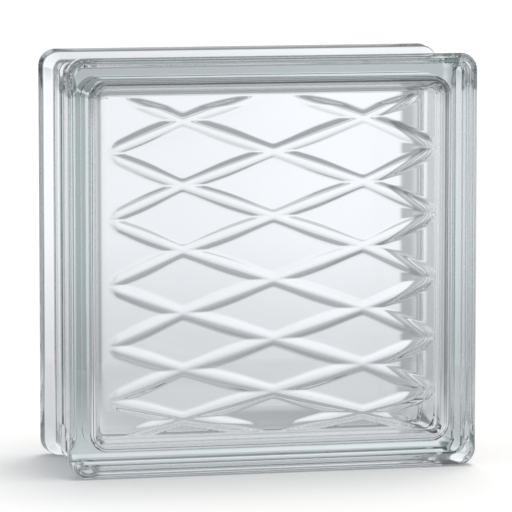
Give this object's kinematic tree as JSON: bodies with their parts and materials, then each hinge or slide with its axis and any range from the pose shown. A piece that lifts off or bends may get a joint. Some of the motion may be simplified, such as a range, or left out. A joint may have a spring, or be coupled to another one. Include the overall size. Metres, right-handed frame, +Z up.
{
  "type": "glass block",
  "caption": "Hollow square glass building block with a mortar recess round its edge and a diamond lattice pressed into the inner side of its front.",
  "frame": {"origin": "middle of the underside, on the level that the block stands on", "axes": "+X to the right along the front face, +Y through the thickness from the front face to the rear face, +Z up"},
  "size_m": [0.19, 0.08, 0.19],
  "materials": {
    "pressed_glass": "clear pressed soda-lime glass, faintly green in thick places, fire-polished"
  },
  "bodies": {
    "root": {"front_half": "pressed_glass", "rear_half": "pressed_glass"}
  },
  "joints": []
}
